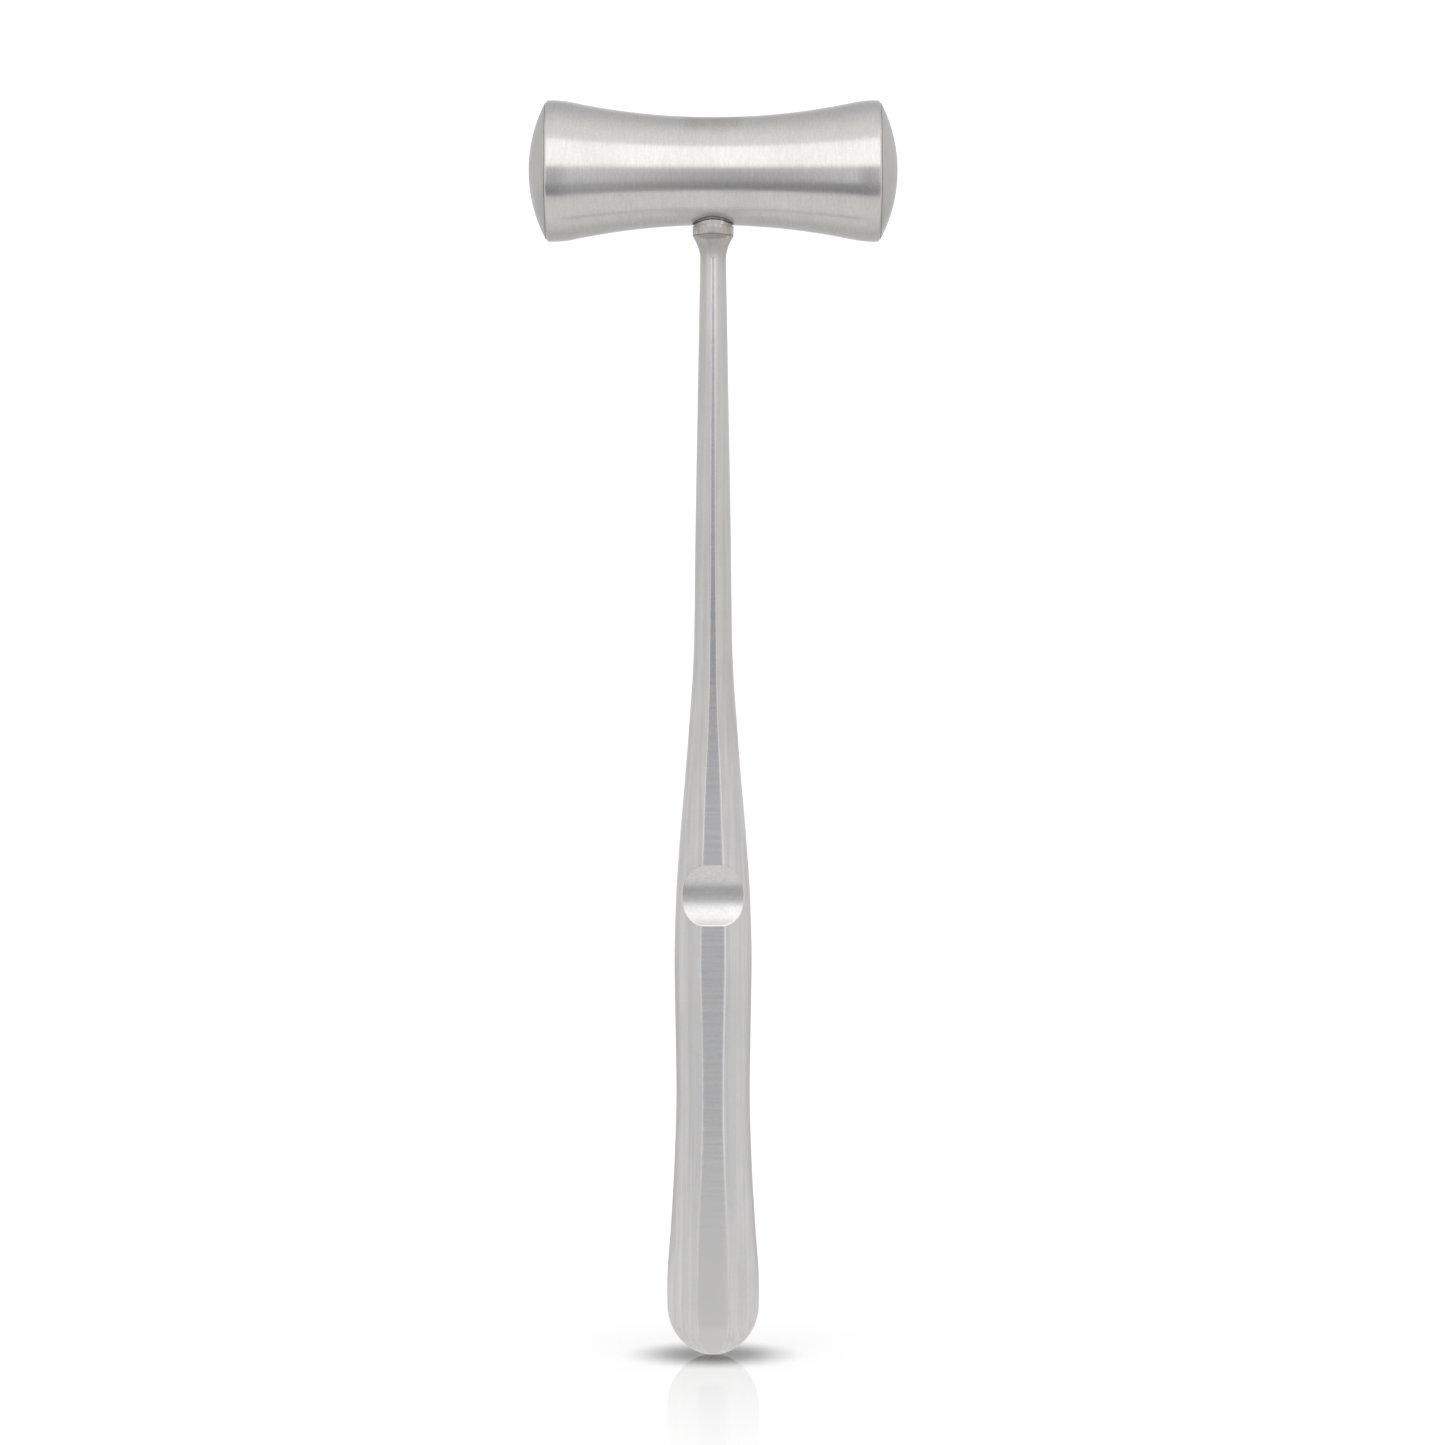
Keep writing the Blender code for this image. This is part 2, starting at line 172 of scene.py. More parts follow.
# Studio: distances in metres, brightness as radiance
CAMERA_AT = (0.0018, -0.755, 0.121)
VIEW_WIDTH = 0.2767  # at the handle
SENSOR_MM = 36.0
FLOOR_HALF = 6.0
FLOOR_WHITE = 0.92
FLOOR_BOOST = 1.31  # how much more of the tent's light the floor gets than the steel
PAINTED_SHADOW_LEVEL = 0.02  # painted shadow: how much of the floor's white is left right under the butt
PAINTED_SHADOW_BAND = (0.0035, 0.0187)  # how far from the butt the painted shadow starts and stops fading
POLISH_BAND = (0.0, 0.16, 0.36, 0.03)  # from and to how far from the butt, and the gloss there
BOUNCE_DROP = 0.0004  # how far under the floor the table that the steel sees lies
TABLE_HALF = 1.5
TABLE_FRONT = -0.205
TABLE_BACK = 2.0
TABLE_FADING = (-0.02, 0.20, 0.985, 0.70)  # from and to which Y, and the brightness there
TABLE_EDGE = (-0.03, 0.01)  # heights between which the pale cloth begins
SCREEN_Y = -0.44
SCREEN_HALF = 0.75
SCREEN_BOTTOM = -0.6
OPENING_LEFT = -0.10
OPENING_RIGHT = 0.06
OPENING_LIGHT = (-0.26, 0.19, 0.30, 0.60)  # from and to which height, and the brightness there
PANEL_HALF = 0.32
PANEL_BOTTOM = 0.226
PANEL_TOP = 0.69
PANEL_LIGHT = 1.68
SIDE_CLOTH = 0.95  # the pale cloth on both sides of the opening
SIDE_LIGHT = 0.93  # the tent's own sides
BACKDROP_LIGHT = 1.1  # what the camera sees behind the table
RAMP_TOP = 2.0  # the radiance that white stands for in the sky's colour ramp
# Radiance by the angle up from straight ahead, over the top to the back
STUDIO_BY_TILT = (
    (-180, 1.0), (-155, 0.80), (-120, 0.62), (-90, 0.5), (-60, 0.42), (0, 0.6),
    (30, 1.0), (50, 1.15), (70, 1.10), (84, 1.0), (96, 0.90), (112, 0.76),
    (135, 0.66), (158, 0.80), (180, 1.0),
)


# ---------------------------------------------------------------- meshes


def new_object(name, points, faces, looks):
    """An object in the frame's axes from points in millimetres, with its materials."""
    mesh = bpy.data.meshes.new(name)
    mesh.from_pydata([[value * MM for value in point] for point in points], [], faces)
    mesh.validate()
    for look in looks:
        mesh.materials.append(look)
    made = bpy.data.objects.new(name, mesh)
    bpy.context.collection.objects.link(made)
    return made


def skin(rings, loop=False):
    """Points and faces that join each ring to the next. A ring of one point closes an end."""
    points, rows = [], []
    for ring in rings:
        rows.append(range(len(points), len(points) + len(ring)))
        points.extend(ring)
    faces = []
    pairs = list(zip(rows, rows[1:])) + ([(rows[-1], rows[0])] if loop else [])
    for low, high in pairs:
        for i in range(max(len(low), len(high))):
            j = i + 1
            corners = (low[i % len(low)], low[j % len(low)],
                       high[j % len(high)], high[i % len(high)])
            faces.append(tuple(dict.fromkeys(corners)))
    return points, faces


def ring_of(radius, height, sides, shape=None):
    """One ring about Z. shape(height, turn), where given, is its radius all round."""
    if radius == 0:
        return [(0.0, 0.0, height)]
    ring = []
    for i in range(sides):
        turn = 2 * math.pi * (i + RING_PHASE) / sides
        reach = shape(height, turn) if shape else radius
        ring.append((reach * math.cos(turn), reach * math.sin(turn), height))
    return ring


def turned(name, profile, sides, looks=(), loop=False):
    """A body turned about Z. Each point of the profile is (radius, height) or, on a thread,
    (radius, height, shape)."""
    rings = [ring_of(row[0], row[1], sides, *row[2:]) for row in profile]
    return new_object(name, *skin(rings, loop), looks)


def fillet(corner, start, end, steps=5):
    """Points of a rounded corner from start to end, which bends towards corner."""
    rounded = []
    for step in range(steps + 1):
        t = step / steps
        rounded.append(tuple((1 - t) ** 2 * a + 2 * t * (1 - t) * c + t * t * b
                             for a, c, b in zip(start, corner, end)))
    return rounded


def spread(low, high, step):
    """Evenly spaced values from low to high, both included, about step apart."""
    count = max(1, round(abs(high - low) / step))
    return [low + (high - low) * i / count for i in range(count + 1)]


def along_head(made, side):
    """Turns a body made about Z so that its +Z points out of the head's right or left end."""
    made.data.transform(Matrix.Translation((0, 0, HEAD_Z * MM))
                        @ Matrix.Rotation(side * math.pi / 2, 4, "Y"))
    return made


def at_pin(made, side):
    made.data.transform(Matrix.Translation((side * PIN_AXIAL * MM, 0, HEAD_Z * MM))
                        @ Matrix.Rotation(math.radians(90 + PIN_BELOW_FRONT), 4, "X"))
    return made


def carve(target, cutters):
    """Cuts every cutter from the target in one exact step, and removes the cutters."""
    group = bpy.data.collections.new(f"{target.name}_cutters")
    bpy.context.scene.collection.children.link(group)
    for cutter in cutters:
        group.objects.link(cutter)
    modifier = target.modifiers.new("cuts", "BOOLEAN")
    modifier.operation = "DIFFERENCE"
    modifier.solver = "EXACT"
    modifier.operand_type = "COLLECTION"
    modifier.collection = group
    depsgraph = bpy.context.evaluated_depsgraph_get()
    mesh = bpy.data.meshes.new_from_object(target.evaluated_get(depsgraph))
    target.modifiers.clear()
    target.data = mesh
    for cutter in cutters:
        bpy.data.objects.remove(cutter, do_unlink=True)
    bpy.data.collections.remove(group)
    return target


def finished(made, node, sharp=32):
    """Shades a piece, rides it on the frame and lets it stand for its CAD node."""
    made.data.shade_smooth()
    made.data.set_sharp_from_angle(angle=math.radians(sharp))
    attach(made, "root")
    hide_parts(node)
    return made


def thread_shape(root, crest, pitch, turns, start, cuts=False):
    """The radius of a threaded surface at a height and turn, for ring_of."""
    play, flank = (THREAD_GAP, FLANK_GAP / pitch) if cuts else (0.0, 0.0)

    def radius(height, turn):
        phase = (height - start) / pitch - turn / (2 * math.pi)
        place = round(phase) + turn / (2 * math.pi)
        run_out = max(0.0, min(1.0, 4 * place, 4 * (turns - place)))
        off = abs(phase - round(phase)) - flank
        share = max(0.0, min(1.0, (THREAD_FOOT - off) / (THREAD_FOOT - THREAD_CREST)))
        return root + play + (crest - root) * share * run_out

    return radius


def threaded_rows(root, crest, pitch, turns, start, low, high, cuts=False):
    shape = thread_shape(root, crest, pitch, turns, start, cuts)
    return [(root, height, shape) for height in spread(low, high, pitch / 12)]


# ---------------------------------------------------------------- head


def waist_radius(axial):
    """The head's outer radius: a long concave arc that turns over into a convex lip."""
    axial = abs(axial)
    if axial <= LIP_START:
        return WAIST_R + WAIST_ARC_R - math.sqrt(WAIST_ARC_R**2 - axial**2)
    rise = LIP_R - waist_radius(LIP_START)
    return LIP_R - rise * ((LIP_CREST - axial) / (LIP_CREST - LIP_START)) ** 2


def head_profile():
    start = BODY_END - RIM_CHAMFER
    shoulder = waist_radius(start)
    rim = fillet((shoulder - 0.08, BODY_END - 0.08), (shoulder, start),
                 (shoulder - RIM_CHAMFER, BODY_END), 8)
    half = [(0, BODY_END), (shoulder - RIM_CHAMFER - 0.8, BODY_END), *reversed(rim)]
    half += [(waist_radius(place), place) for place in spread(start - 0.2, LIP_START, 0.22)]
    half += [(waist_radius(place), place) for place in spread(LIP_START, 0, 0.75)[1:]]
    return half + [(radius, -place) for radius, place in reversed(half[:-1])]


def upright(name, radius, low, high, sides):
    return turned(name, ((0, high), (radius, high), (radius, low), (0, low)), sides)


def socket_cutter(side, label):
    bore_r = SPIGOT_R + THREAD_GAP
    rows = threaded_rows(SPIGOT_R, SPIGOT_CREST_R, SPIGOT_PITCH, SPIGOT_TURNS, SPIGOT_THREAD_START,
                         GASKET_SEAT - 1.6, SPIGOT_END - 0.3, cuts=True)
    profile = [
        (0, BODY_END + 1),
        (GASKET_SEAT_R, BODY_END + 1),
        (GASKET_SEAT_R, GASKET_SEAT),
        (bore_r, GASKET_SEAT),
        *rows,
        (bore_r, WEB_HALF),
        (0, WEB_HALF),
    ]
    return along_head(turned(f"socket_cutter_{label}", profile, SOCKET_SIDES), side)


def pin_cutter(side, label):
    low, high = LIP_R - PIN_DEPTH - 0.3, LIP_R + 1
    return at_pin(upright(f"pin_cutter_{label}", PIN_HOLE_R, low, high, 40), side)


def make_head_body(look):
    body = along_head(turned("steel_head", head_profile(), HEAD_SIDES, [look]), 1)
    cutters = [
        upright("bore_cutter", TENON_BORE_R, COLLAR_BOTTOM, TENON_SHOULDER + 1, 72),
        upright("nut_cutter", NUT_SEAT_R, NUT_SEAT, HEAD_Z + LIP_R, 144),
    ]
    for side, label in ENDS:
        cutters += [socket_cutter(side, label), pin_cutter(side, label)]
    finished(carve(body, cutters), "head_body")


def dome_radius():
    sag = CAP_APEX - CAP_RIM - CAP_LAND
    return (CAP_R**2 + sag**2) / (2 * sag)


def make_face_cap(side, label, look):
    reach = dome_radius()
    widest = math.asin((CAP_R - CAP_EDGE_R) / reach)
    dome = []
    for step in range(1, 41):
        angle = widest * step / 40
        dome.append((reach * math.sin(angle), CAP_APEX - reach * (1 - math.cos(angle))))
    land_top = CAP_RIM + CAP_LAND
    edge = fillet((CAP_R, land_top), dome[-1], (CAP_R, CAP_RIM + 0.05), 4)[1:]
    rows = threaded_rows(SPIGOT_R, SPIGOT_CREST_R, SPIGOT_PITCH, SPIGOT_TURNS, SPIGOT_THREAD_START,
                         GASKET_SEAT - 1.6, SPIGOT_END + SPIGOT_CHAMFER)
    profile = [
        (0, CAP_APEX),
        *dome,
        *edge,
        (CAP_R - 0.05, CAP_RIM),
        (CAP_RIM_INNER_R, CAP_RIM),
        (CAP_RIM_INNER_R - 0.1, CAP_UNDERSIDE),
        (SPIGOT_R, CAP_UNDERSIDE),
        *rows,
        (SPIGOT_R - SPIGOT_CHAMFER, SPIGOT_END),
        (0, SPIGOT_END),
    ]
    cap = along_head(turned(f"steel_face_{label}", profile, HEAD_SIDES, [look]), side)
    finished(carve(cap, [pin_cutter(side, label)]), f"face_cap_{label}")


def make_lock_pin(side, label, look):
    top = waist_radius(PIN_AXIAL) - PIN_SUNK
    bottom = LIP_R - PIN_DEPTH
    profile = [
        (0, top),
        *fillet((PIN_R, top), (PIN_R - 0.12, top), (PIN_R, top - 0.12)),
        (PIN_R, bottom + 0.2),
        (PIN_R - 0.2, bottom),
        (0, bottom),
    ]
    pin = at_pin(turned(f"dowel_{label}", profile, 40, [look]), side)
    finished(pin, f"cap_lock_pin_{label}")


def make_crown_nut(look):
    """Its top follows the head's outer surface, so it sits flush in the waist."""
    sides = 144

    def flush(radius):
        ring = []
        for x, y, _ in ring_of(radius, 0, sides):
            ring.append((x, y, HEAD_Z + math.sqrt(waist_radius(x) ** 2 - y**2)))
        return ring

    rows = threaded_rows(NUT_ROOT_R, NUT_CREST_R, NUT_PITCH, NUT_TURNS, NUT_THREAD_START,
                         NUT_UNDERSIDE, TENON_TOP - 0.2, cuts=True)
    bore_r = NUT_ROOT_R + THREAD_GAP
    rings = [[(0.0, 0.0, HEAD_Z + WAIST_R)]]
    rings += [flush(radius) for radius in spread(0.25, NUT_R, 0.25)]
    rings += [ring_of(NUT_R, height, sides)
              for height in spread(NUT_SEAT + 4.2, NUT_UNDERSIDE, 0.8)]
    rings += [ring_of(row[0], row[1], sides, row[2]) for row in rows]
    rings += [ring_of(bore_r, NUT_HOLE_TOP, sides), ring_of(0, NUT_HOLE_TOP, sides)]
    nut = new_object("flush_nut", *skin(rings), [look])
    finished(nut, "crown_nut")


def make_neck_collar(look):
    """A plain band with a land on top that follows the head's underside, just clear of it."""
    sides = 160

    def fitted(radius, clear):
        ring = []
        for x, y, _ in ring_of(radius, 0, sides):
            ring.append((x, y, HEAD_Z - math.sqrt(waist_radius(x) ** 2 - y**2) - clear))
        return ring

    foot = COLLAR_FOOT_R
    band = [
        (COLLAR_LAND_R, COLLAR_TOP + 0.02),
        *fillet((COLLAR_R, COLLAR_TOP), (COLLAR_R - 0.09, COLLAR_TOP),
                (COLLAR_R, COLLAR_TOP - 0.1)),
        (COLLAR_R - 0.01, COLLAR_TOP - 0.6),
        (COLLAR_R - 0.04, COLLAR_TOP - 1.2),
        *fillet((foot, COLLAR_BOTTOM), (foot + 0.02, COLLAR_BOTTOM + 0.08),
                (foot - 0.06, COLLAR_BOTTOM), 3),
        (TENON_BORE_R, COLLAR_BOTTOM),
    ]
    rings = [fitted(TENON_BORE_R, 0.06), fitted(COLLAR_LAND_R - 0.08, 0.06),
             fitted(COLLAR_LAND_R, 0.13)]
    rings += [ring_of(radius, height, sides) for radius, height in band]
    collar = new_object("turned_collar", *skin(rings, loop=True), [look])
    finished(collar, "neck_collar")


# ---------------------------------------------------------------- handle


def smooth(height, column):
    """A smooth curve through one column of the station table, with no overshoot."""
    knots = [(row[0], row[column]) for row in HANDLE_STATIONS]
    slopes = [(b[1] - a[1]) / (b[0] - a[0]) for a, b in zip(knots, knots[1:])]
    middles = [2 * p * q / (p + q) if p * q > 0 else 0.0 for p, q in zip(slopes, slopes[1:])]
    tangents = [slopes[0], *middles, slopes[-1]]
    for i, ((low, start), (high, end)) in enumerate(zip(knots, knots[1:])):
        if height <= high or i == len(slopes) - 1:
            span = high - low
            t = (height - low) / span
            return (
                start * (1 + 2 * t) * (1 - t) ** 2
                + end * t * t * (3 - 2 * t)
                + span * t * (1 - t) ** 2 * tangents[i]
                - span * t * t * (1 - t) * tangents[i + 1]
            )


def rounding(height, reach):
    rest = max(0.0, 1 - height / reach)
    return math.sqrt(1 - rest**2)


def lesser(a, b, blend):
    """The smaller of two values, rounded over where they meet, and how near they are."""
    near = max(0.0, 1 - abs(a - b) / blend)
    return min(a, b) - blend * near**2 / 4, near


def quarter_columns():
    """Where a quarter of a section has its points: shares of the half flat, then of the flank."""
    flat = [0.0, 0.25, 0.5, 0.68, 0.8, 0.88, 0.93, 0.965, 1.0]
    fine = [0.006, 0.013, 0.021, 0.03, 0.041, 0.054]
    flank = fine + spread(0.067, 0.64, 0.0135) + spread(0.68, 1.0, 0.04)
    return [("flat", share) for share in flat] + [("flank", share) for share in flank]


def quarter_section(height, columns):
    """Points (x, depth, edge, look) of a quarter section. edge is 1 on a rounded corner, where the
    steel gets a painted highlight, and look is the point's place in the list of materials."""
    width = smooth(height, 1) * rounding(height, BUTT_ROUND_WIDE)
    flat_at = smooth(height, 2) * rounding(height, BUTT_ROUND_THICK)
    flat_wide = smooth(height, 3) * rounding(height, BUTT_ROUND_WIDE)
    corner = math.asin(flat_wide / width)
    half_thick = flat_at / math.cos(corner)
    slope = half_thick / (width / 2) * math.tan(corner)
    butt = max(0.0, 1 - height / BUTT_SOFT_TO)
    corner_blend = max(1e-6, slope * (CORNER_ROUND + 0.05 * flat_wide + BUTT_SOFT * butt**2))
    off_scoop = height - SCOOP_Z
    points = []
    for kind, share in columns:
        if kind == "flat":
            x = share * flat_wide / 2
        else:
            x = width / 2 * math.sin(corner + (math.pi / 2 - corner) * share)
        oval = half_thick * math.sqrt(max(0.0, 1 - (2 * x / width) ** 2))
        depth, edge = lesser(flat_at, oval, corner_blend)
        # The painted corner highlight fades out towards the butt
        edge *= (1 - butt) ** 2
        look = ON_FLAT if flat_at < oval else ON_FLANK
        if abs(off_scoop) < 0.9 * SCOOP_R:
            centre = flat_at_scoop() - SCOOP_DEPTH + SCOOP_R
            scooped = centre - math.sqrt(SCOOP_R**2 - off_scoop**2)
            if scooped < depth:
                look = ON_SCOOP
                edge = 0.0
            depth, rim = lesser(depth, scooped, SCOOP_RIM)
            edge = max(edge, rim)
        points.append((x, depth, edge, look))
    return points


def flat_at_scoop():
    return smooth(SCOOP_Z, 2)


def whole_ring(quarter, height):
    """The ring of a section from its front right quarter, as (x, y, z, edge, look) points."""
    front_right = [(x, -y, height, *rest) for x, y, *rest in quarter]
    back_right = [(x, y, height, *rest) for x, y, *rest in quarter[-2::-1]]
    back_left = [(-x, y, height, *rest) for x, y, *rest in quarter[1:]]
    front_left = [(-x, -y, height, *rest) for x, y, *rest in quarter[-2:0:-1]]
    return front_right + back_right + back_left + front_left


def handle_heights():
    butt = [BUTT_ROUND_WIDE * (1 - math.cos(math.pi / 2 * step / 40)) for step in range(1, 41)]
    below, above = SCOOP_Z - SCOOP_NEAR, SCOOP_Z + SCOOP_NEAR
    return (
        butt
        + spread(BUTT_ROUND_WIDE, below, 1.2)[1:]
        + spread(below, above, 0.13)[1:]
        + spread(above, FLARE_START, 1.4)[1:]
    )


def handle_rings():
    columns = quarter_columns()
    rings = [[(0.0, 0.0, 0.0, 0.0, ON_FLANK)]]
    for height in handle_heights():
        rings.append(whole_ring(quarter_section(height, columns), height))
    turns = [math.atan2(y, x) for x, y, *_ in rings[-1]]

    def round_ring(radius, height, shape=None):
        reach = [shape(height, turn) if shape else radius for turn in turns]
        return [(r * math.cos(t), r * math.sin(t), height, 0.0, ON_FLANK)
                for r, t in zip(reach, turns)]

    for step in range(1, 25):
        share = step / 24
        height = FLARE_START + (FLARE_END - FLARE_START) * share
        rings.append(round_ring(NECK_R + (FLARE_R - NECK_R) * share**2, height))
    rings += [round_ring(TENON_R, FLARE_END), round_ring(TENON_R, TENON_SHOULDER)]
    for row in threaded_rows(NUT_ROOT_R, NUT_CREST_R, NUT_PITCH, NUT_TURNS, NUT_THREAD_START,
                             TENON_SHOULDER, TENON_TOP - 0.3):
        rings.append(round_ring(*row))
    rings.append(round_ring(NUT_ROOT_R - 0.3, TENON_TOP))
    return rings + [[(0.0, 0.0, TENON_TOP, 0.0, ON_FLANK)]]


def make_handle(looks):
    points, faces = skin(handle_rings())
    handle = new_object("forged_handle", [point[:3] for point in points], faces, looks)
    mesh = handle.data
    # Where the flank and the flat are painted lighter as a highlight
    edge = mesh.attributes.new("edge", "FLOAT", "POINT")
    edge.data.foreach_set("value", [point[3] for point in points])
    for polygon in mesh.polygons:
        polygon.material_index = max(points[corner][4] for corner in polygon.vertices)
    finished(handle, "handle", sharp=40)


# ---------------------------------------------------------------- finishes


class Nodes:
    """A short way to add nodes to a tree. An input that is a socket is linked, and any other
    value is set."""

    def __init__(self, tree):
        self.tree = tree

    def add(self, kind, inputs=None, **settings):
        node = self.tree.nodes.new(kind)
        for name, value in settings.items():
            setattr(node, name, value)
        for key, value in (inputs or {}).items():
            socket = node.inputs[key]
            if isinstance(value, bpy.types.NodeSocket):
                self.tree.links.new(value, socket)
            else:
                socket.default_value = value
        return node.outputs

    def math(self, operation, *values):
        return self.add("ShaderNodeMath", dict(enumerate(values)), operation=operation)[0]

    def product(self, *values):
        result = values[0]
        for value in values[1:]:
            result = self.math("MULTIPLY", result, value)
        return result

    def band(self, value, low, high, start=0.0, end=1.0, smooth=True):
        """Rises from start to end while value goes from low to high."""
        kind = "SMOOTHSTEP" if smooth else "LINEAR"
        inputs = {0: value, 1: low, 2: high, 3: start, 4: end}
        return self.add("ShaderNodeMapRange", inputs, interpolation_type=kind, clamp=True)[0]

    def blend(self, share, first, second):
        """Goes from one number to another while share goes from 0 to 1."""
        inputs = {0: share, 2: first, 3: second}
        return self.add("ShaderNodeMix", inputs, data_type="FLOAT")[0]

    def mix(self, share, first, second, blend="MIX"):
        """The same between two colours."""
        inputs = {"Factor": share, 6: first, 7: second}
        return self.add("ShaderNodeMix", inputs, data_type="RGBA", blend_type=blend)[2]

    def noise(self, place, scale, detail=2.0, roughness=0.5, distortion=0.0):
        inputs = {"Vector": place, "Scale": scale, "Detail": detail, "Roughness": roughness,
                  "Distortion": distortion}
        return self.add("ShaderNodeTexNoise", inputs)[0]

    def stretched(self, place, along):
        return self.add("ShaderNodeVectorMath", {0: place, 1: along}, operation="MULTIPLY")[0]


def grey(value, warm=0.0):
    """A colour of that brightness, warmer or cooler."""
    return (value * (1 + warm), value, value * (1 - warm), 1.0)


def new_material(name):
    made = bpy.data.materials.new(name)
    made.use_nodes = True
    nodes = Nodes(made.node_tree)
    shader = made.node_tree.nodes["Principled BSDF"]
    place = nodes.add("ShaderNodeTexCoord")["Object"]
    in_mm = nodes.add("ShaderNodeVectorMath", {0: place, "Scale": 1 / MM}, operation="SCALE")[0]
    return made, nodes, shader, in_mm


def brushed_steel(name, lines, tint, roughness, axis, turn, anisotropic=0.7, contrast=0.05,
                  streaks=None, streak_contrast=0.0, mottle=0.03, bump=0.25, painted_edge_highlight=0.0,
                  accents=(), slope=None, hues=0.006, speckles=0.02):
    """Steel with a directional finish.

    lines and streaks are how much a noise is squeezed along X, Y and Z, per millimetre, so a
    line runs along the axes with small numbers. axis and turn set the direction of the grain's
    highlight. accents are functions that change the colour and roughness in one place. slope
    gives the height, in metres, of a surface that isn't quite as straight as its mesh."""
    made, nodes, shader, place = new_material(name)
    fine = nodes.noise(nodes.stretched(place, lines), 1.0, 3.0, 0.6)
    value = nodes.band(fine, 0.25, 0.75, 1 - contrast, 1 + contrast, smooth=False)
    if streaks:
        broad = nodes.noise(nodes.stretched(place, streaks), 1.0, 2.0, 0.55)
        strength = nodes.band(broad, 0.3, 0.7, 1 - streak_contrast, 1 + streak_contrast)
        value = nodes.product(value, strength)
    speckle = nodes.noise(place, 2.2, 2.0, 0.6)
    grains = nodes.band(speckle, 0.3, 0.7, 1 - speckles, 1 + speckles, smooth=False)
    value = nodes.product(value, grains)
    blotch = nodes.noise(place, 0.11, 3.0, 0.55)
    value = nodes.product(value, nodes.band(blotch, 0.3, 0.7, 1 - mottle, 1 + mottle))
    hue = nodes.band(nodes.noise(place, 0.23, 2.0), 0.35, 0.65)
    cool, warm = (tuple(c * k for c, k in zip(tint[:3], shift)) + (1.0,)
                  for shift in ((1 - hues, 1.0, 1 + hues), (1 + hues, 1.0, 1 - hues)))
    colour = nodes.mix(hue, cool, warm)
    rough = nodes.band(blotch, 0.3, 0.7, roughness * 1.08, roughness * 0.92)
    # Painted highlight: the rounded corners in the edge attribute are made lighter
    if painted_edge_highlight:
        edge = nodes.add("ShaderNodeAttribute", attribute_name="edge")[2]
        value = nodes.product(value, nodes.band(edge, 0.0, 1.0, 1.0, 1 + painted_edge_highlight))
    for accent in accents:
        value, colour, rough = accent(nodes, place, value, colour, rough)
    shade = nodes.add("ShaderNodeCombineColor", {0: value, 1: value, 2: value})[0]
    colour = nodes.mix(1.0, colour, shade, "MULTIPLY")
    normal = nodes.add("ShaderNodeBump", {"Height": fine, "Strength": bump, "Distance": 4e-6})[0]
    if slope:
        inputs = {"Height": slope(nodes, place), "Strength": 1.0, "Distance": 1.0,
                  "Normal": normal}
        normal = nodes.add("ShaderNodeBump", inputs)[0]
    tangent = nodes.add("ShaderNodeTangent", direction_type="RADIAL", axis=axis)[0]
    links = made.node_tree.links
    for socket, output in (("Base Color", colour), ("Roughness", rough), ("Normal", normal),
                           ("Tangent", tangent)):
        links.new(output, shader.inputs[socket])
    shader.inputs["Metallic"].default_value = 1.0
    shader.inputs["Anisotropic"].default_value = anisotropic
    shader.inputs["Anisotropic Rotation"].default_value = turn
    return made


def rim_scuffs(nodes, place, value, colour, rough):
    """Small handling scuffs round each lock pin."""
    mirrored = nodes.add("ShaderNodeVectorMath", {0: place}, operation="ABSOLUTE")[0]
    parts = nodes.add("ShaderNodeSeparateXYZ", {0: mirrored})
    level = nodes.add("ShaderNodeSeparateXYZ", {0: place})
    drop = math.sin(math.radians(PIN_BELOW_FRONT)) * LIP_R
    across = nodes.math("SUBTRACT", parts[0], PIN_AXIAL)
    down = nodes.math("SUBTRACT", level[2], HEAD_Z - drop)
    away = nodes.math("SQRT", nodes.math("ADD", nodes.product(across, across),
                                         nodes.product(down, down)))
    ragged = nodes.math("ADD", away, nodes.band(nodes.noise(place, 2.6, 3.0), 0.3, 0.7, -0.5, 0.5))
    worn = nodes.band(ragged, *SCUFF_R, 1.0, 0.0)
    value = nodes.product(value, nodes.band(worn, 0.0, 1.0, 1.0, 0.92))
    rough = nodes.math("ADD", rough, nodes.product(worn, 0.12))
    return value, colour, rough


def nut_surround(nodes, place, value, colour, rough):
    """The warm patch on top of the waist, where the nut was ground flush across the head."""
    parts = nodes.add("ShaderNodeSeparateXYZ", {0: place})
    wobble = nodes.band(nodes.noise(place, 0.9, 3.0), 0.3, 0.7, -0.7, 0.7)
    side = nodes.math("ADD", nodes.math("ABSOLUTE", parts[0]), wobble)
    across = nodes.band(side, *PATCH_HALF, 1.0, 0.0)
    above = nodes.band(nodes.math("ADD", parts[2], nodes.product(wobble, 0.8)),
                       *(HEAD_Z + rise for rise in PATCH_RISE))
    patch = nodes.product(across, above)
    value = nodes.product(value, nodes.band(patch, 0, 1, 1.0, 0.86, smooth=False))
    colour = nodes.mix(patch, colour, grey(0.535, 0.045))
    rough = nodes.math("ADD", rough, nodes.product(patch, 0.08))
    return value, colour, rough


